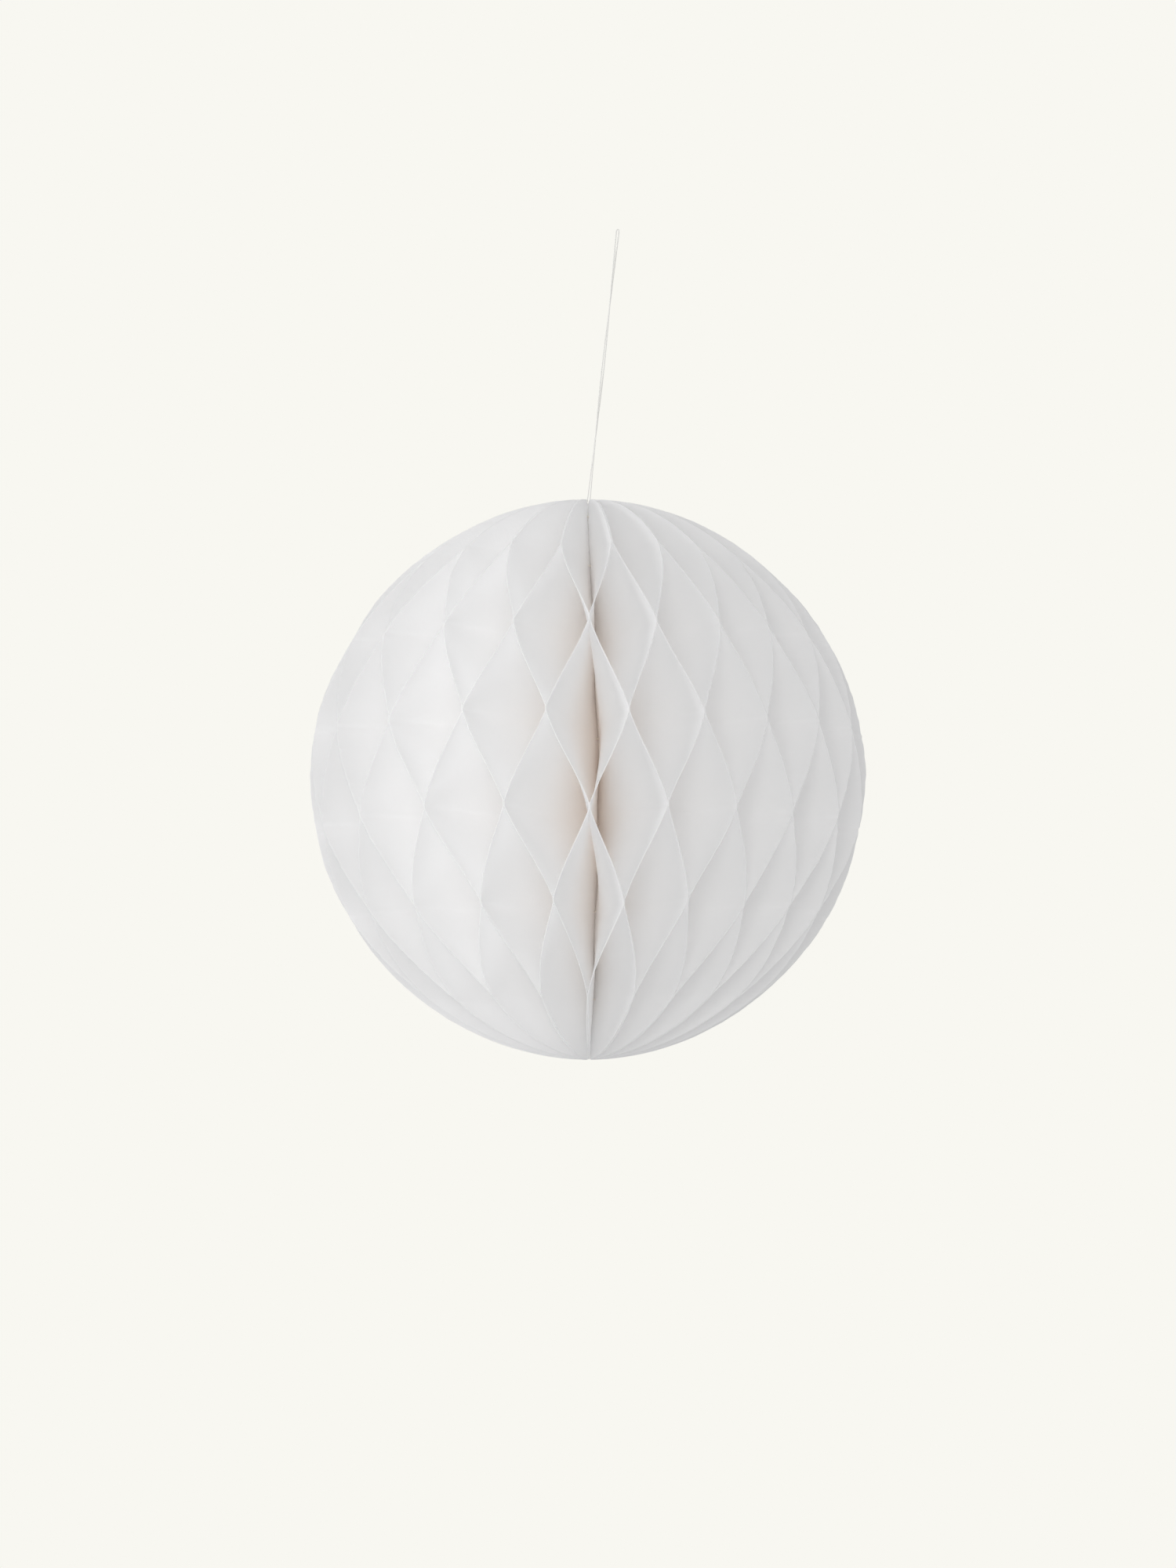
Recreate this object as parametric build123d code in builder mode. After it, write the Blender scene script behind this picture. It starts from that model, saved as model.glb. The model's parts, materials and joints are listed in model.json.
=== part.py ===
from build123d import *
import math
import os

# A honeycomb paper ball that hangs on a doubled string. Millimetres, +Z up.
# The origin is the top of the string's loop, where a hook takes the weight.
# The ball faces -Y. Directions are degrees from +X, counterclockwise from above.

# Ball of paper leaves
ball_radius = 75.0
ball_half_height = 75.6
leaf_count = 42
paper_thickness = 0.15
glue_gap = 0.02
core_radius = 2.0
trim_allowance = 2.0

# Rows of glue, from the lowest, which join leaves to each other in turn
row_count = 6
row_pitch = 23.4
middle_height = -1.0
glue_width = 4.0

# How the glue planes spread round the axis: evenly, but for two gentle waves of
# degrees, one that comes round once and one that comes round twice
front_direction = -90.0
single_wave = 2.4
single_wave_start = 153.0
double_wave = 3.4
double_wave_start = 115.0

# Two cover boards, back to back at the seam, and what holds them shut
cover_thickness = 0.4
cover_margin = 1.0
cover_tie_gap = 4.0
cover_corner = 3.0
strip_thickness = 0.1
strip_width = 8.0
strip_length = 36.0
strip_count = 2
strip_gap = 8.0
strip_rim_gap = 2.5

# Thread that binds the spine, through one hole per ring in each leaf. There is a ring at
# the middle of each row of glue, where a leaf is flat, and the top tie above them.
thread_diameter = 0.4
tie_radius = 3.5
tie_hole_clearance = 0.4
tie_bend = 0.8
top_tie_depth = 4.6

# Hanging string, doubled into a loop and knotted above the spine
string_diameter = 0.32
string_length = 76.4
string_lean = 6.1
loop_bend = 0.32
loop_top = 0.06
knot_radius = 1.2
knot_depth = 1.3
knot_seat = 0.02

lean = math.radians(string_lean)
along_string = Vector(math.sin(lean), 0, math.cos(lean))
across_string = Vector(math.cos(lean), 0, -math.sin(lean))
string_spacing = 2 * loop_bend + loop_top
knot_centre = along_string * -string_length
ball_centre = knot_centre - Vector(0, 0, ball_half_height - knot_depth)
top_tie_height = ball_half_height - top_tie_depth

# The covers and the strip push the outer glue planes off the seam.
seam_offset = strip_thickness / 2 + cover_thickness + glue_gap / 2
offset_step = 2 * seam_offset / leaf_count

os.makedirs("parts", exist_ok=True)


def save(piece, name):
    piece.label = name
    export_step(piece, f"parts/{name}.step")


def uneven_turn(turn):
    """Where an even turn from the seam, in degrees, really lies."""
    single = single_wave * math.sin(math.radians(turn - single_wave_start))
    double = double_wave * math.sin(math.radians(2 * (turn - double_wave_start)))
    return turn + single + double


def plane_direction(number):
    """Direction of glue plane number 0, at the seam, to leaf_count, back at the seam."""
    return front_direction + uneven_turn(360 * number / leaf_count) - uneven_turn(180)


def plane_offset(number):
    """How far glue plane number stands off the axis, counterclockwise."""
    return seam_offset - offset_step * number


def outward(direction):
    return Vector(math.cos(math.radians(direction)), math.sin(math.radians(direction)), 0)


def sideways(direction):
    return outward(direction + 90)


def row_height(row):
    return middle_height + (row - (row_count - 1) / 2) * row_pitch


def cross_plane(direction, offset, distance):
    """Upright plane across a leaf, at a distance from the axis: X is sideways, Y is up."""
    origin = ball_centre + outward(direction) * distance + sideways(direction) * offset
    return Plane(origin, x_dir=sideways(direction), z_dir=outward(direction))


def flat_plane(direction, offset):
    """Upright plane of a flat leaf or cover: X is outward, Y is up, Z is clockwise."""
    origin = ball_centre + sideways(direction) * offset
    return Plane(origin, x_dir=outward(direction), z_dir=-sideways(direction))


def fold_outline(reach, lowest_side):
    """Closed outline of a folded leaf's section, reach to each side between glue rows."""
    top = ball_half_height + trim_allowance
    side = lowest_side
    line = [(side * reach, -top)]
    for row in range(row_count):
        if row > 0:
            line.append((side * reach, row_height(row) - glue_width / 2))
        if row < row_count - 1:
            line.append((side * reach, row_height(row) + glue_width / 2))
            side = -side
    line.append((side * reach, top))
    half = paper_thickness / 2
    left = [(x - half, z) for x, z in line]
    right = [(x + half, z) for x, z in reversed(line)]
    return left + right


# The whole ball's shape, which trims the allowance off every leaf
with BuildPart() as ball_shape:
    with BuildSketch(Plane.XZ.offset(-ball_centre.Y)):
        with Locations((ball_centre.X, ball_centre.Z)):
            Ellipse(ball_radius, ball_half_height)
            Rectangle(2 * ball_radius, 3 * ball_half_height, align=(Align.MAX, Align.CENTER),
                      mode=Mode.SUBTRACT)
    revolve(axis=Axis(ball_centre, (0, 0, 1)))

stitch_heights = [row_height(row) for row in range(row_count)]
hole_heights = stitch_heights + [top_tie_height]

# Leaves: each one zigzags between two glue planes and is glued to a neighbour at each fold.
# The lowest row of glue lies on the plane at the front, and so on every second plane.
for number in range(1, leaf_count + 1):
    near = plane_direction(number - 1)
    far = plane_direction(number)
    middle = (near + far) / 2
    half_wedge = math.radians((far - near) / 2)
    offset = (plane_offset(number - 1) + plane_offset(number)) / 2
    clearance = (offset_step + glue_gap + paper_thickness) / 2
    lowest_side = 1 if (leaf_count // 2 - number) % 2 == 0 else -1
    with BuildPart() as leaf:
        for distance in (core_radius, ball_radius + trim_allowance):
            reach = distance * math.tan(half_wedge) - clearance
            with BuildSketch(cross_plane(middle, offset, distance)):
                with BuildLine():
                    Polyline(*fold_outline(reach, lowest_side), close=True)
                make_face()
        loft(ruled=True)
        add(ball_shape.part, mode=Mode.INTERSECT)
        with BuildSketch(flat_plane(middle, offset)):
            with Locations(*[(tie_radius, height) for height in hole_heights]):
                Circle(thread_diameter / 2 + tie_hole_clearance)
        extrude(amount=tie_radius, both=True, mode=Mode.SUBTRACT)
    save(leaf.part, f"leaf_{number:02d}")

# Cover boards: half discs on each side of the seam, which the end leaves are glued to
seam_direction = plane_direction(0)
cover_offset = strip_thickness / 2
cover_radius = ball_radius - cover_margin
cover_half_height = ball_half_height - cover_margin
cover_inner_edge = tie_radius + cover_tie_gap
for name, side in (("cover_left", 1), ("cover_right", -1)):
    with BuildPart() as cover:
        with BuildSketch(flat_plane(seam_direction, side * cover_offset)):
            Ellipse(cover_radius, cover_half_height)
            with Locations((cover_inner_edge, 0)):
                Rectangle(2 * ball_radius, 3 * ball_half_height,
                          align=(Align.MAX, Align.CENTER), mode=Mode.SUBTRACT)
        extrude(amount=-side * cover_thickness)
        fillet(cover.edges().filter_by(GeomType.LINE).filter_by(
            lambda edge: edge.length < 2 * cover_thickness), cover_corner)
    save(cover.part, name)

# Closing strips: adhesive tabs between the two covers. Their far corners stay inside the
# covers' edge by the rim gap.
strip_pitch = strip_length + strip_gap
strip_end = ((strip_count - 1) * strip_pitch + strip_length) / 2
cover_reach = cover_radius * math.sqrt(1 - (strip_end / cover_half_height) ** 2)
strip_distance = cover_reach - strip_rim_gap - strip_width / 2
with BuildPart() as closing_strips:
    with BuildSketch(flat_plane(seam_direction, 0)):
        with Locations((strip_distance, 0)):
            with GridLocations(0, strip_pitch, 1, strip_count):
                Rectangle(strip_width, strip_length)
    extrude(amount=strip_thickness / 2, both=True)
save(closing_strips.part, "closing_strips")

# Spine stitches: rings of thread through the leaves' holes
with BuildPart() as spine_stitches:
    for height in stitch_heights:
        with Locations(ball_centre + Vector(0, 0, height)):
            Torus(tie_radius, thread_diameter / 2)
save(spine_stitches.part, "spine_stitches")

# Top tie: the topmost ring, with its end led through the seam and up to the knot
tie_centre = ball_centre + Vector(0, 0, top_tie_height)
knot_foot = knot_centre - Vector(0, 0, knot_radius + knot_seat)
with BuildPart() as top_tie:
    with Locations(tie_centre):
        Torus(tie_radius, thread_diameter / 2)
    with BuildLine():
        lead = FilletPolyline(tie_centre + outward(seam_direction) * tie_radius, tie_centre,
                              knot_foot, radius=tie_bend)
    with BuildSketch(Plane(lead @ 1, z_dir=lead % 1)):
        Circle(thread_diameter / 2)
    sweep(path=lead)
save(top_tie.part, "top_tie")

# Knot where the string's two ends meet the tie
with BuildPart() as string_knot:
    with Locations(knot_centre):
        Sphere(knot_radius)
save(string_knot.part, "string_knot")

# Hanging string: up from the knot, over the top of the loop and back down
strand_foot = along_string * (knot_radius + knot_seat - string_length)
left_strand = across_string * (-string_spacing / 2)
right_strand = across_string * (string_spacing / 2)
with BuildPart() as hanging_string:
    with BuildLine():
        route = FilletPolyline(strand_foot + left_strand, left_strand, right_strand,
                               strand_foot + right_strand, radius=loop_bend)
    with BuildSketch(Plane(route @ 0, z_dir=route % 0)):
        Circle(string_diameter / 2)
    sweep(path=route)
save(hanging_string.part, "hanging_string")

section = math.pi * string_diameter ** 2 / 4
print("string length", round(route.length, 2), "bends", [loop_bend, loop_bend])
print("string volume over section times length",
      round(hanging_string.part.volume / (section * route.length), 4))
print("ball centre", ball_centre, "knot centre", knot_centre, "seam", seam_direction)
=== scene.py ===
import json
import math

import bpy
import numpy as np
from mathutils import Matrix, Vector


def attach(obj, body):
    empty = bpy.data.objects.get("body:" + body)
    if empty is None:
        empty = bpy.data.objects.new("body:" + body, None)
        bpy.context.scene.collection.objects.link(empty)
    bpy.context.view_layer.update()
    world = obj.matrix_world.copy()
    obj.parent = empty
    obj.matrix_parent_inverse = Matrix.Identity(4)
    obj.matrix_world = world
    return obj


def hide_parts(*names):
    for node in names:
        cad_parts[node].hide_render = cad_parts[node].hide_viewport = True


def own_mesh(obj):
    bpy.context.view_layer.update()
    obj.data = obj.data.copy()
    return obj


# The looks of a honeycomb paper ball on a doubled string. Metres, +Z up, in the CAD's frame:
# the origin is the top of the string's loop, and the ball faces -Y.
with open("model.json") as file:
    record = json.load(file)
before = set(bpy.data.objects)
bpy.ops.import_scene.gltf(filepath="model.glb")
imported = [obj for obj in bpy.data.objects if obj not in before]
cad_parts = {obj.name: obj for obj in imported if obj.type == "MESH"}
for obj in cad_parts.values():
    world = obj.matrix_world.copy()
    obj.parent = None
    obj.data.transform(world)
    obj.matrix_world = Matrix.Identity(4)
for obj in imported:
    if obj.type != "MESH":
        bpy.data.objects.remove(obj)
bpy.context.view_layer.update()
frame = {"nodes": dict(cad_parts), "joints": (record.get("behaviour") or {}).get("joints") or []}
joints = {joint["name"]: joint for joint in frame["joints"]}
random = np.random.default_rng(7)

# Ball of paper leaves
ball_centre = Vector(joints["spin"]["pos_m"])
ball_radius = 0.075
ball_half_height = 0.0756
outline_power = 1.95
leaf_count = 42
paper_thickness = 0.0002
glue_gap = 0.00002
core_radius = 0.0012

# Rows of glue, from the lowest, which join leaves to each other in turn
row_count = 6
row_pitch = 0.0234
middle_height = -0.001
glue_width = 0.0014
row_spread = 0.0018
row_spread_height = 0.045

# How the glue planes spread round the axis
front_direction = -90.0
single_wave = 2.4
single_wave_start = 153.0
double_wave = 3.4
double_wave_start = 115.0
seam_offset = 0.00046
offset_step = 2 * seam_offset / leaf_count

# How far a wall is from straight between its folds, from 0 to 1
wall_curve = 0.2

# Unevenness of hand-glued paper
row_wander = 0.0008
plane_wander = 0.4
wall_wander = 0.05
rim_wander = 0.00012
spine_wander = 0.0007

# The leaves part in a funnel round the knot, as wide as the string needs at the ends of its swing
funnel_radius = 0.0013
funnel_slope = 2.1

# The spine bows to the right inside the ball, and carries the leaves near it along. How far that
# reaches sideways, forwards and back, where it stops short of the covers.
spine_bow = 0.0026
bow_height = -0.006
bow_reach_side = 0.022
bow_reach_front = 0.020
bow_reach_back = 0.003

# Ripples of the spine: how much each wave adds, and radians per metre of height
long_ripple = 0.6
long_ripple_rate = 210
short_ripple = 0.4
short_ripple_rate = 470
bow_ripple = 0.12
bow_ripple_rate = 190

# How far a leaf's free ends relax towards its middle at the poles, as a share of its swing
least_relaxed = 0.06
most_relaxed = 0.18

# Mesh of a leaf
least_width = 0.0003
sharp_fold = 50
levels_per_pole = 16
levels_per_wall = 14
distances_per_leaf = 14

# Thread and string
thread_diameter = 0.0004
tie_radius = 0.0035
top_tie_height = 0.071
string_diameter = 0.00032
string_spacing = 0.0007
thread_twist = 0.0011
string_twist = 0.0013
ply_fullness = 1.08
ply_sides = 7
string_length = 0.0764
knot_radius = 0.0012
knot_step = 0.00034
knot_depth_share = 1.15
knot_string_share = 1.15
ring_ripple = 0.00012
ring_lift = 0.00015
lead_bend = 0.0008
knot_seat = 0.00002
lean = math.radians(6.1)

# Camera and studio
view_distance = 1.7
view_elevation = -5.5
view_drop = 0.00127
apparent_radius = 355.0
picture_height = 2000.0
sensor_height = 36.0
backdrop_radius = 5.0
floor_height = -1.2
backdrop_colour = (0.939, 0.930, 0.880, 1.0)

along_string = Vector((math.sin(lean), 0, math.cos(lean)))
across_string = Vector((math.cos(lean), 0, -math.sin(lean)))
behind_string = Vector((0, 1, 0))
knot_centre = Vector(joints["swing_side"]["pos_m"])


def outward(direction):
    return Vector((math.cos(math.radians(direction)), math.sin(math.radians(direction)), 0))


def sideways(direction):
    return outward(direction + 90)


def uneven_turn(turn):
    """Where an even turn from the seam, in degrees, really lies."""
    single = single_wave * math.sin(math.radians(turn - single_wave_start))
    double = double_wave * math.sin(math.radians(2 * (turn - double_wave_start)))
    return turn + single + double


def plane_direction(number):
    """Direction of glue plane number 0, at the seam, to leaf_count, back at the seam."""
    return front_direction + uneven_turn(360 * number / leaf_count) - uneven_turn(180)


def plane_offset(number):
    return seam_offset - offset_step * number


def row_height(row):
    return middle_height + (row - (row_count - 1) / 2) * row_pitch


def fold_height(row):
    """Height of a fold, which lies towards the pole's side of its wider row of glue."""
    height = row_height(row)
    return height + row_spread * math.sin(math.pi / 2 * height / row_spread_height)


def bowed(points):
    """Points moved along with the bowed spine."""
    points = np.array(points, float)
    level = points - np.array(ball_centre)
    share = np.clip((level[:, 2] - bow_height) / ball_half_height, -1, 1)
    ripple = 1 + bow_ripple * np.sin(level[:, 2] * bow_ripple_rate)
    bow = spine_bow * np.cos(share * math.pi / 2) * ripple
    reach = np.where(level[:, 1] > 0, bow_reach_back, bow_reach_front)
    away = (level[:, 0] / bow_reach_side) ** 2 + (level[:, 1] / reach) ** 2
    points[:, 0] += bow * np.exp(-away)
    return points


# Materials


class Nodes:
    """A material's node tree, with short ways to add and join nodes."""

    def __init__(self, name):
        self.material = bpy.data.materials.new(name)
        self.material.use_nodes = True
        self.tree = self.material.node_tree
        self.shader = self.tree.nodes["Principled BSDF"]
        self.output = self.tree.nodes["Material Output"]

    def add(self, kind, inputs=None, **settings):
        node = self.tree.nodes.new(kind)
        for key, value in settings.items():
            setattr(node, key, value)
        for key, value in (inputs or {}).items():
            if isinstance(value, bpy.types.NodeSocket):
                self.tree.links.new(value, node.inputs[key])
            else:
                node.inputs[key].default_value = value
        return node

    def link(self, source, target):
        self.tree.links.new(source, target)

    def noise(self, place, scale, detail=4.0):
        inputs = {"Vector": place, "Scale": scale, "Detail": detail}
        return self.add("ShaderNodeTexNoise", inputs).outputs["Fac"]

    def span(self, value, low, high, start=0.3, end=0.7):
        """Turns a value between start and end into one between low and high."""
        inputs = {"Value": value, "From Min": start, "From Max": end, "To Min": low, "To Max": high}
        return self.add("ShaderNodeMapRange", inputs).outputs["Result"]

    def blend(self, factor, first, second):
        node = self.add("ShaderNodeMix", data_type="RGBA")
        for socket, value in ((node.inputs[0], factor), (node.inputs[6], first), (node.inputs[7], second)):
            if isinstance(value, bpy.types.NodeSocket):
                self.link(value, socket)
            else:
                socket.default_value = value
        return node.outputs[2]

    def bump(self, height, distance, strength=1.0, under=None):
        inputs = {"Height": height, "Distance": distance, "Strength": strength}
        if under is not None:
            inputs["Normal"] = under
        return self.add("ShaderNodeBump", inputs).outputs["Normal"]


def paper_material():
    """Thin matt paper: clouds in the pulp, fine fibre, and painted warm shade deep in towards the spine."""
    nodes = Nodes("paper")
    place = nodes.add("ShaderNodeTexCoord").outputs["Object"]
    # Distance from the ball's centre, with height counted at 0.6, sets where the painted shade lies
    centred = nodes.add("ShaderNodeVectorMath", {0: place, 1: ball_centre}, operation="SUBTRACT")
    level = nodes.add("ShaderNodeVectorMath", {0: centred.outputs[0], 1: (1, 1, 0.6)}, operation="MULTIPLY")
    distance = nodes.add("ShaderNodeVectorMath", {0: level.outputs[0]}, operation="LENGTH").outputs["Value"]
    clouds = nodes.noise(place, 130.0, 5.0)
    fine = nodes.noise(place, 1100.0, 6.0)
    stretched = nodes.add("ShaderNodeMapping", {"Vector": place, "Scale": (0.25, 0.25, 1.0)})
    fibre = nodes.noise(stretched.outputs["Vector"], 3200.0, 3.0)
    # Painted shade: the paper is tinted warmer and slightly darker deep inside the ball towards the spine,
    # and fades to plain white towards the rim and the poles
    painted_shade_fade = nodes.span(distance, 0.0, 1.0, 0.004, 0.042)
    painted_shade_tone = nodes.blend(painted_shade_fade, (0.997, 0.989, 0.982, 1.0), (0.9985, 0.9985, 0.9985, 1.0))
    clouded = nodes.blend(nodes.span(clouds, 0.0, 0.25), painted_shade_tone, (0.992, 0.992, 0.992, 1.0))
    speckled = nodes.blend(nodes.span(fine, 0.0, 0.20), clouded, (1.0, 1.0, 1.0, 1.0))
    pulp = nodes.bump(clouds, 0.00006)
    grain = nodes.bump(fine, 0.00003, under=pulp)
    relief = nodes.bump(fibre, 0.00001, under=grain)
    shader = nodes.shader
    nodes.link(speckled, shader.inputs["Base Color"])
    nodes.link(nodes.span(fine, 0.80, 0.95), shader.inputs["Roughness"])
    nodes.link(relief, shader.inputs["Normal"])
    shader.inputs["Specular IOR Level"].default_value = 0.25
    through = nodes.add("ShaderNodeBsdfTranslucent", {"Color": speckled, "Normal": relief})
    mixed = nodes.add("ShaderNodeMixShader", {0: 0.5, 1: shader.outputs[0], 2: through.outputs[0]})
    nodes.link(mixed.outputs[0], nodes.output.inputs["Surface"])
    return nodes.material


def board_material():
    """Off-white cover board with a coarse pulp and a few darker specks."""
    nodes = Nodes("cover_board")
    place = nodes.add("ShaderNodeTexCoord").outputs["Object"]
    pulp = nodes.noise(place, 420.0, 6.0)
    specks = nodes.noise(place, 2600.0, 2.0)
    face = nodes.blend(nodes.span(pulp, 0.0, 0.6), (0.90, 0.88, 0.84, 1.0), (0.80, 0.77, 0.72, 1.0))
    colour = nodes.blend(nodes.span(specks, 0.0, 0.5, 0.62, 0.75), face, (0.55, 0.50, 0.44, 1.0))
    nodes.link(colour, nodes.shader.inputs["Base Color"])
    nodes.link(nodes.span(pulp, 0.62, 0.82), nodes.shader.inputs["Roughness"])
    nodes.link(nodes.bump(pulp, 0.00008), nodes.shader.inputs["Normal"])
    nodes.shader.inputs["Specular IOR Level"].default_value = 0.3
    return nodes.material


def tape_material():
    """Pale yellowish adhesive film, smoother than the paper, with small trapped bubbles."""
    nodes = Nodes("adhesive_tape")
    place = nodes.add("ShaderNodeTexCoord").outputs["Object"]
    cells = nodes.add("ShaderNodeTexVoronoi", {"Vector": place, "Scale": 700.0}).outputs["Distance"]
    haze = nodes.noise(place, 260.0, 4.0)
    colour = nodes.blend(nodes.span(haze, 0.0, 1.0), (0.86, 0.82, 0.70, 1.0), (0.93, 0.91, 0.84, 1.0))
    nodes.link(colour, nodes.shader.inputs["Base Color"])
    nodes.link(nodes.span(haze, 0.28, 0.45), nodes.shader.inputs["Roughness"])
    nodes.link(nodes.bump(cells, 0.00002), nodes.shader.inputs["Normal"])
    return nodes.material


def cotton_material(name, light, dark):
    """Spun cotton: fine hairy fibre in two tones, with a soft sheen."""
    nodes = Nodes(name)
    place = nodes.add("ShaderNodeTexCoord").outputs["Object"]
    fibre = nodes.noise(place, 9000.0, 3.0)
    slubs = nodes.noise(place, 900.0, 2.0)
    spun = nodes.blend(nodes.span(fibre, 0.0, 1.0), light, dark)
    colour = nodes.blend(nodes.span(slubs, 0.0, 0.3), spun, light)
    nodes.link(colour, nodes.shader.inputs["Base Color"])
    nodes.link(nodes.span(fibre, 0.75, 0.95), nodes.shader.inputs["Roughness"])
    nodes.link(nodes.bump(fibre, 0.00002), nodes.shader.inputs["Normal"])
    nodes.shader.inputs["Sheen Weight"].default_value = 0.3
    nodes.shader.inputs["Specular IOR Level"].default_value = 0.2
    return nodes.material


paper = paper_material()
string_cotton = cotton_material("string_cotton", (0.96, 0.955, 0.93, 1.0), (0.84, 0.83, 0.79, 1.0))
thread_cotton = cotton_material("thread_cotton", (0.93, 0.89, 0.82, 1.0), (0.78, 0.73, 0.65, 1.0))


# Meshes

# Any direction that no path here starts along
first_side = (0.31, 0.42, 0.85)


def mesh_piece(name, points, faces, material, sharp_angle=None):
    mesh = bpy.data.meshes.new(name)
    mesh.from_pydata([tuple(point) for point in points], [], faces)
    mesh.materials.append(material)
    mesh.shade_smooth()
    if sharp_angle is not None:
        mesh.set_sharp_from_angle(angle=math.radians(sharp_angle))
    piece = bpy.data.objects.new(name, mesh)
    bpy.context.scene.collection.objects.link(piece)
    return piece


def frames_along(path, closed):
    """Two directions across a path at each of its points, which turn as little as they can."""
    if closed:
        tangents = np.roll(path, -1, 0) - np.roll(path, 1, 0)
    else:
        tangents = np.gradient(path, axis=0)
    tangents /= np.linalg.norm(tangents, axis=1)[:, None]
    side = np.cross(tangents[0], first_side)
    sides, ups = [], []
    for tangent in tangents:
        side = side - tangent * (side @ tangent)
        side /= np.linalg.norm(side)
        sides.append(side)
        ups.append(np.cross(tangent, side))
    return np.array(sides), np.array(ups)


def tube(path, radius, closed=False, sides=8):
    """Points and faces of a round tube along a path. An open one has capped ends."""
    path = np.asarray(path, float)
    count = len(path)
    points = []
    for place, side, up in zip(path, *frames_along(path, closed)):
        for step in range(sides):
            turn = 2 * math.pi * step / sides
            points.append(place + radius * (math.cos(turn) * side + math.sin(turn) * up))
    shift = 0
    if closed:
        first = np.array(points[:sides])
        last = points[-sides]
        shift = int(np.argmin(np.linalg.norm(first - last, axis=1)))
    faces = []
    for ring in range(count if closed else count - 1):
        turned = shift if ring == count - 1 else 0
        for step in range(sides):
            after = (step + 1) % sides
            start = ring * sides
            end = (ring + 1) % count * sides
            faces.append((start + step, start + after,
                          end + (after + turned) % sides, end + (step + turned) % sides))
    if not closed:
        faces.append(tuple(reversed(range(sides))))
        faces.append(tuple(range((count - 1) * sides, count * sides)))
    return points, faces


def gather(parts):
    """Joins several (points, faces) into one."""
    points, faces = [], []
    for some_points, some_faces in parts:
        start = len(points)
        points.extend(some_points)
        faces.extend(tuple(start + corner for corner in face) for face in some_faces)
    return points, faces


def plies(path, diameter, turn_length, closed=False):
    """Two plies twisted round each other along a path, as spun thread is."""
    path = np.asarray(path, float)
    steps = np.linalg.norm(np.diff(path, axis=0), axis=1)
    lengths = np.concatenate([[0], np.cumsum(steps)])
    whole = lengths[-1]
    if closed:
        whole += np.linalg.norm(path[0] - path[-1])
    turns = round(whole / turn_length) if closed else whole / turn_length
    sides, ups = frames_along(path, closed)
    made = []
    for start in (0, math.pi):
        turn = start + 2 * math.pi * turns * lengths / whole
        offset = np.cos(turn)[:, None] * sides + np.sin(turn)[:, None] * ups
        made.append(tube(path + offset * diameter / 4, diameter / 4 * ply_fullness, closed, ply_sides))
    return gather(made)


# Camera


def make_camera():
    elevation = math.radians(view_elevation)
    back = Vector((0, -math.cos(elevation), math.sin(elevation)))
    aim = ball_centre - Vector((0, 0, view_drop))
    sight = math.sqrt(view_distance ** 2 - ball_radius ** 2)
    data = bpy.data.cameras.new("camera")
    data.sensor_width = sensor_height
    data.lens = apparent_radius * sight / ball_radius / picture_height * sensor_height
    data.clip_start = 0.01
    data.clip_end = 50.0
    camera = bpy.data.objects.new("camera", data)
    camera.location = aim + back * view_distance
    camera.rotation_mode = "QUATERNION"
    camera.rotation_quaternion = (-back).to_track_quat("-Z", "Y")
    bpy.context.scene.collection.objects.link(camera)
    bpy.context.scene.camera = camera


make_camera()

# Hanging string: up one strand, over the loop's top and down the other. The strands are lightly
# twisted round each other, as the string's own spin leaves them.


def beside_string(down, across, behind):
    return along_string * -down + across_string * across + behind_string * behind


def make_string():
    half = string_spacing / 2
    foot = string_length - knot_radius - knot_seat
    near_loop = 6 * string_diameter
    strand = [
        (foot, -half, 0),
        (0.0570, 0, half),
        (0.0390, half, 0),
        (0.0205, 0, -half),
        (near_loop, -half, 0),
        (0, -half, 0),
    ]
    up = [beside_string(*place) for place in strand]
    down = [beside_string(drop, -across, -behind) for drop, across, behind in reversed(strand)]
    route = up + down
    curve = bpy.data.curves.new("string_loop", "CURVE")
    curve.dimensions = "3D"
    curve.bevel_depth = string_diameter / 2
    curve.bevel_resolution = 4
    curve.resolution_u = 24
    spline = curve.splines.new("NURBS")
    spline.points.add(len(route) - 1)
    for point, place in zip(spline.points, route):
        point.co = (*place, 1)
    spline.order_u = 3
    spline.use_endpoint_u = True
    curve.materials.append(string_cotton)
    piece = bpy.data.objects.new("string_loop", curve)
    bpy.context.scene.collection.objects.link(piece)
    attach(piece, "string")
    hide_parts("hanging_string")


make_string()


# Knot: an overhand knot in the doubled string, pulled tight


def make_knot():
    turns = np.linspace(0, 2 * math.pi, 96, endpoint=False)
    path = np.stack([np.sin(turns) + 2 * np.sin(2 * turns),
                     -knot_depth_share * np.sin(3 * turns),
                     np.cos(turns) - 2 * np.cos(2 * turns)], 1) * knot_step
    path += np.array(knot_centre)
    points, faces = plies(path, string_diameter * knot_string_share, string_twist, closed=True)
    piece = mesh_piece("string_overhand_knot", points, faces, string_cotton)
    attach(piece, "knot")
    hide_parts("string_knot")


make_knot()


# Thread: rings through the spine, and the topmost one led up to the knot


def ring_path(height, count=150):
    turns = np.linspace(0, 2 * math.pi, count, endpoint=False)
    radius = tie_radius + ring_ripple * np.sin(3 * turns + 40 * height)
    return np.stack([ball_centre.x + radius * np.cos(turns),
                     ball_centre.y + radius * np.sin(turns),
                     ball_centre.z + height + ring_lift * np.sin(2 * turns + 90 * height)], 1)


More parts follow.
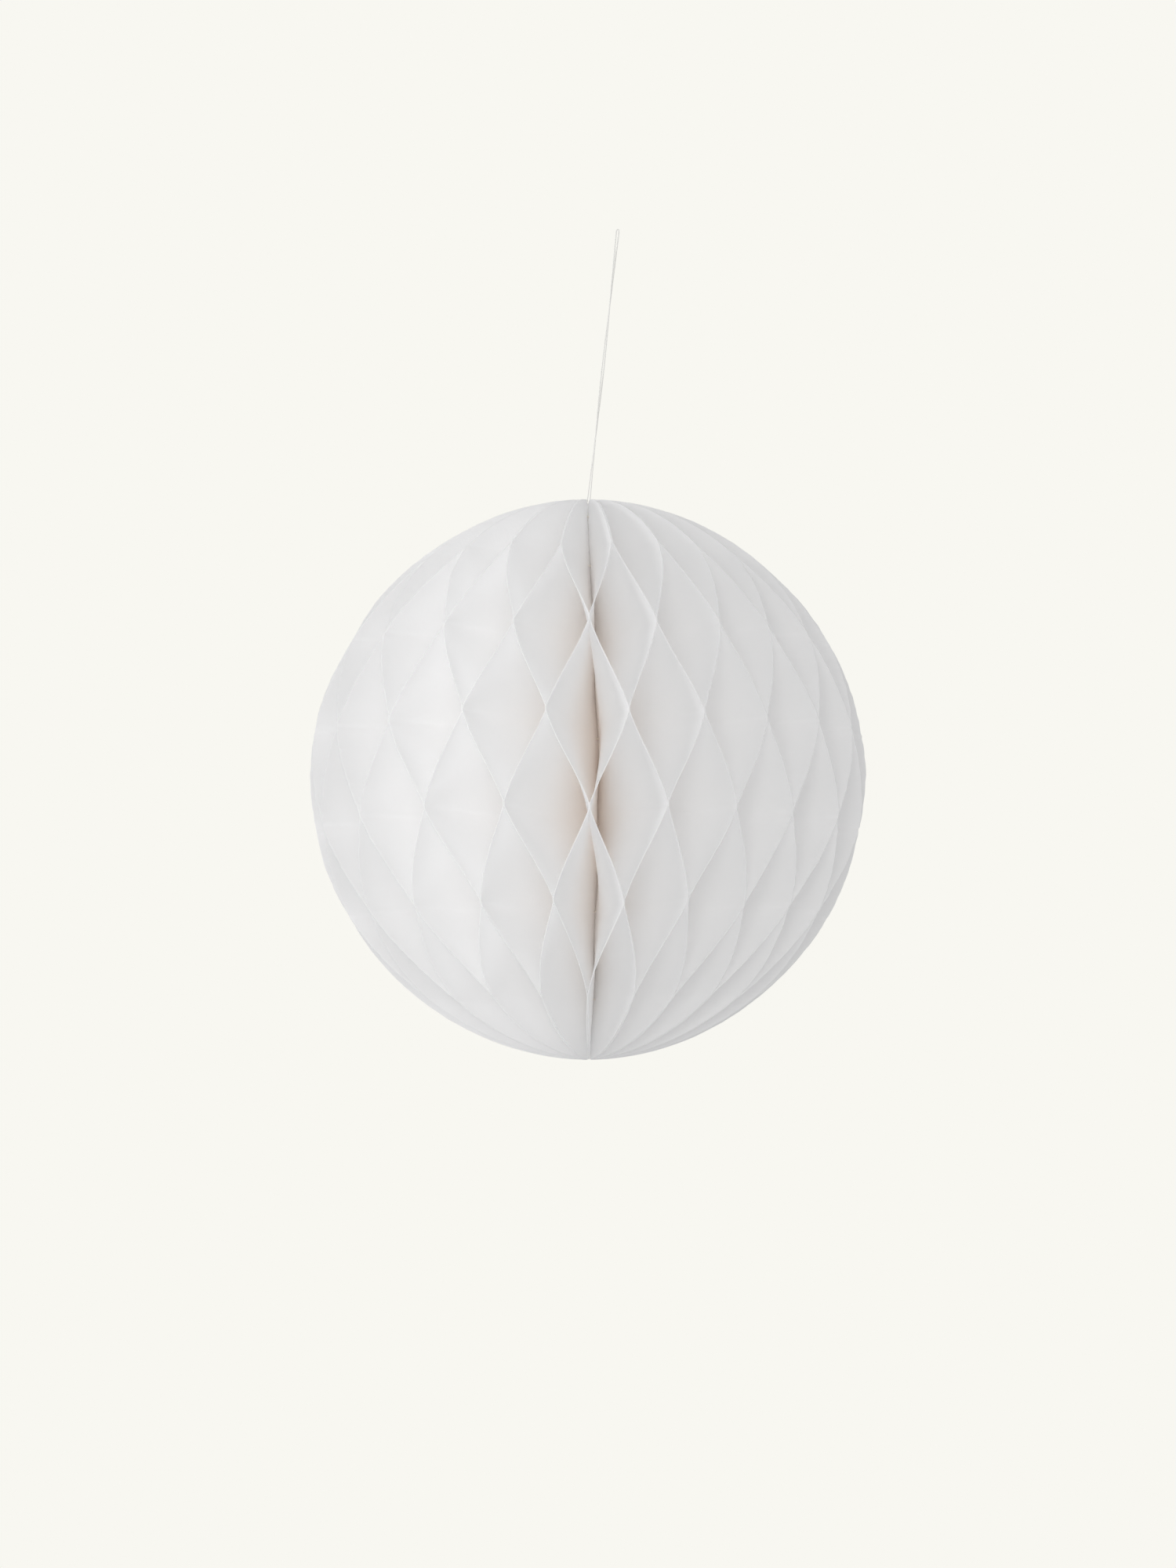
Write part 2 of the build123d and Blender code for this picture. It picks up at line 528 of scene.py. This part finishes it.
def make_thread():
    rings = [plies(bowed(ring_path(row_height(row))), thread_diameter, thread_twist, closed=True)
             for row in range(row_count)]
    spine_thread = mesh_piece("spine_thread", *gather(rings), thread_cotton)
    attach(spine_thread, "spine")
    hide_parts("spine_stitches")

    seam = outward(plane_direction(0))
    tie_centre = ball_centre + Vector((0, 0, top_tie_height))
    knot_foot = knot_centre - Vector((0, 0, knot_radius))
    start = tie_centre + seam * tie_radius
    bend_start = tie_centre + seam * lead_bend
    bend_end = tie_centre + Vector((0, 0, lead_bend))
    lead = [start.lerp(bend_start, share) for share in np.linspace(0, 1, 12, endpoint=False)]
    for share in np.linspace(0, 1, 8):
        inner = bend_start.lerp(tie_centre, share)
        outer = tie_centre.lerp(bend_end, share)
        lead.append(inner.lerp(outer, share))
    lead += [bend_end.lerp(knot_foot, share) for share in np.linspace(0, 1, 12)[1:]]
    parts = [plies(ring_path(top_tie_height), thread_diameter, thread_twist, closed=True),
             plies([tuple(point) for point in lead], thread_diameter, thread_twist)]
    top_thread = mesh_piece("top_thread", *gather(parts), thread_cotton)
    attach(top_thread, "tie")
    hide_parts("top_tie")


make_thread()


# Leaves: each one zigzags between two glue planes, from the spine out to the ball's outline

row_shifts = random.uniform(-row_wander, row_wander, (leaf_count + 1, row_count))
plane_turns = np.radians(random.uniform(-plane_wander, plane_wander, (leaf_count + 1, row_count)))
plane_turns[0] = 0
plane_turns[leaf_count] = 0


def smooth(share):
    return share * share * (3 - 2 * share)


def outline_radius(heights):
    """How far the ball reaches from its axis at each height."""
    share = np.clip(np.abs(heights) / ball_half_height, 0, 1)
    return ball_radius * (1 - share ** outline_power) ** (1 / outline_power)


def leaf_profile(number):
    """Heights up a leaf, with how far it swings to each side there, from -1 to 1, and how far its
    glue plane is turned there, in radians."""
    lowest_side = 1 if (leaf_count // 2 - number) % 2 == 0 else -1
    sides = [lowest_side * (-1) ** row for row in range(row_count)]
    planes = [number if side > 0 else number - 1 for side in sides]
    folds = [fold_height(row) + row_shifts[plane, row] for row, plane in enumerate(planes)]
    turns = [plane_turns[plane, row] for row, plane in enumerate(planes)]
    half = glue_width / 2
    relaxed = random.uniform(least_relaxed, most_relaxed, 2)
    heights, swings, turned = [], [], []

    towards_pole = np.linspace(0, 1, levels_per_pole, endpoint=False)
    eased = 1 - np.cos(towards_pole * math.pi / 2)
    pole = -ball_half_height
    heights.extend(pole + (folds[0] - half - pole) * eased)
    swings.extend(sides[0] * (1 - relaxed[0] * (1 - eased)))
    turned.extend([turns[0]] * levels_per_pole)
    for row in range(row_count):
        heights.extend([folds[row] - half, folds[row]])
        swings.extend([sides[row]] * 2)
        turned.extend([turns[row]] * 2)
        if row == row_count - 1:
            break
        share = np.linspace(0, 1, levels_per_wall, endpoint=False)
        eased_share = (1 - wall_curve) * share + wall_curve * smooth(share)
        sway = random.uniform(-wall_wander, wall_wander) * np.sin(math.pi * share)
        low = folds[row] + half
        high = folds[row + 1] - half
        heights.extend(low + (high - low) * share)
        swings.extend(np.clip(sides[row] * (1 - 2 * eased_share) + sway, -1, 1))
        turned.extend(turns[row] + (turns[row + 1] - turns[row]) * smooth(share))
    last = row_count - 1
    eased = np.sin(np.linspace(0, 1, levels_per_pole) * math.pi / 2)
    low = folds[last] + half
    heights.extend(low + (ball_half_height - low) * eased)
    swings.extend(sides[last] * (1 - relaxed[1] * eased))
    turned.extend([turns[last]] * levels_per_pole)
    return np.array(heights), np.array(swings), np.array(turned)


def leaf_grid(number):
    """Middle surface of a leaf as rows of points by height, in its own frame: X is outward along
    the leaf's middle plane, Y is sideways and Z is up from the ball's centre."""
    half_wedge = math.radians(plane_direction(number) - plane_direction(number - 1)) / 2
    clearance = (offset_step + glue_gap + paper_thickness) / 2
    heights, swings, turned = leaf_profile(number)
    count = len(heights)
    spine_phase = random.uniform(0, 2 * math.pi)
    ripple = (long_ripple * np.sin(heights * long_ripple_rate + spine_phase)
              + short_ripple * np.sin(heights * short_ripple_rate - spine_phase))
    inner = core_radius + spine_wander * (0.5 + 0.5 * ripple)
    above_knot = heights - (knot_centre.z - ball_centre.z)
    inner = np.where(above_knot > 0, np.maximum(inner, funnel_radius + funnel_slope * above_knot), inner)
    ragged = random.uniform(-rim_wander, rim_wander, count)
    outer = np.maximum(outline_radius(heights) + ragged - rim_wander, inner + least_width)
    share = np.linspace(0, 1, distances_per_leaf)
    distance = inner[:, None] + (outer - inner)[:, None] * share[None, :]
    angle = swings[:, None] * half_wedge + turned[:, None]
    x = distance * np.cos(angle)
    y = distance * np.sin(angle) - swings[:, None] * np.minimum(clearance, distance * half_wedge)
    z = np.repeat(heights[:, None], distances_per_leaf, 1)
    return np.stack([x, y, z], 2)


def thicken(grid, thickness):
    """Closed sheet of a thickness about a grid of points: its points and faces."""
    along = np.gradient(grid, axis=1)
    upward = np.gradient(grid, axis=0)
    normals = np.cross(along, upward)
    normals /= np.linalg.norm(normals, axis=2)[:, :, None]
    rows, columns = grid.shape[:2]
    points = np.concatenate([(grid + normals * thickness / 2).reshape(-1, 3),
                             (grid - normals * thickness / 2).reshape(-1, 3)])
    back = rows * columns
    faces = []
    for row in range(rows - 1):
        for column in range(columns - 1):
            corner = row * columns + column
            quad = (corner, corner + 1, corner + columns + 1, corner + columns)
            faces.append(quad)
            faces.append(tuple(back + place for place in reversed(quad)))
    edge = list(range(columns))
    edge += [row * columns + columns - 1 for row in range(1, rows)]
    edge += [(rows - 1) * columns + column for column in range(columns - 2, -1, -1)]
    edge += [row * columns for row in range(rows - 2, 0, -1)]
    for place, after in zip(edge, edge[1:] + edge[:1]):
        faces.append((place, place + back, after + back, after))
    return points, faces


def make_leaf(number):
    near = plane_direction(number - 1)
    far = plane_direction(number)
    middle = (near + far) / 2
    offset = (plane_offset(number - 1) + plane_offset(number)) / 2
    anchor = ball_centre + sideways(middle) * offset
    turn = Matrix((outward(middle), sideways(middle), Vector((0, 0, 1)))).transposed()
    points, faces = thicken(leaf_grid(number), paper_thickness)
    placed = bowed(points @ np.array(turn).T + np.array(anchor))
    piece = mesh_piece(f"paper_leaf_{number:02d}", placed, faces, paper, sharp_angle=sharp_fold)
    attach(piece, f"fold_{number:02d}")
    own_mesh(piece)
    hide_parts(f"leaf_{number:02d}")


for number in range(1, leaf_count + 1):
    make_leaf(number)


# Covers and closing strips keep their CAD shapes


def dress(node, material):
    mesh = frame["nodes"][node].data
    mesh.materials.clear()
    mesh.materials.append(material)


board = board_material()
dress("cover_left", board)
dress("cover_right", board)
dress("closing_strips", tape_material())


# Studio


def make_stage():
    material = bpy.data.materials.new("backdrop")
    material.use_nodes = True
    tree = material.node_tree
    tree.nodes.remove(tree.nodes["Principled BSDF"])
    glow = tree.nodes.new("ShaderNodeEmission")
    glow.inputs["Color"].default_value = backdrop_colour
    tree.links.new(glow.outputs[0], tree.nodes["Material Output"].inputs["Surface"])
    bpy.ops.mesh.primitive_uv_sphere_add(segments=64, ring_count=32, radius=backdrop_radius,
                                         location=ball_centre)
    dome = bpy.context.object
    bpy.ops.mesh.primitive_circle_add(vertices=96, radius=backdrop_radius, fill_type="NGON",
                                      location=(0, 0, floor_height))
    floor = bpy.context.object
    for name, piece in (("backdrop", dome), ("floor", floor)):
        piece.name = name
        piece.data.materials.append(material)
        piece.visible_diffuse = False
        piece.visible_glossy = False
        piece.visible_transmission = False
        piece.visible_shadow = False


def add_light(name, place, size, power, colour):
    data = bpy.data.lights.new(name, "AREA")
    data.shape = "DISK"
    data.size = size
    data.energy = power
    data.color = colour
    light = bpy.data.objects.new(name, data)
    light.location = ball_centre + Vector(place)
    light.rotation_mode = "QUATERNION"
    light.rotation_quaternion = (-Vector(place)).to_track_quat("-Z", "Y")
    bpy.context.scene.collection.objects.link(light)


def make_light():
    world = bpy.data.worlds.new("studio")
    world.use_nodes = True
    bpy.context.scene.world = world
    ambient = world.node_tree.nodes["Background"]
    ambient.inputs["Color"].default_value = (0.995, 0.995, 1.0, 1.0)
    ambient.inputs["Strength"].default_value = 0.55
    add_light("key", (-1.65, -0.55, 0.15), 1.2, 9.5, (0.98, 0.985, 1.0))
    add_light("fill", (-0.10, -1.7, 0.0), 0.7, 5.5, (1.0, 0.99, 0.98))
    # Light goes from leaf to leaf many times before it comes out of a deep white cell
    scene = bpy.context.scene
    scene.view_settings.view_transform = "Standard"
    scene.cycles.max_bounces = 112
    scene.cycles.diffuse_bounces = 88
    scene.cycles.transmission_bounces = 88


make_stage()
make_light()
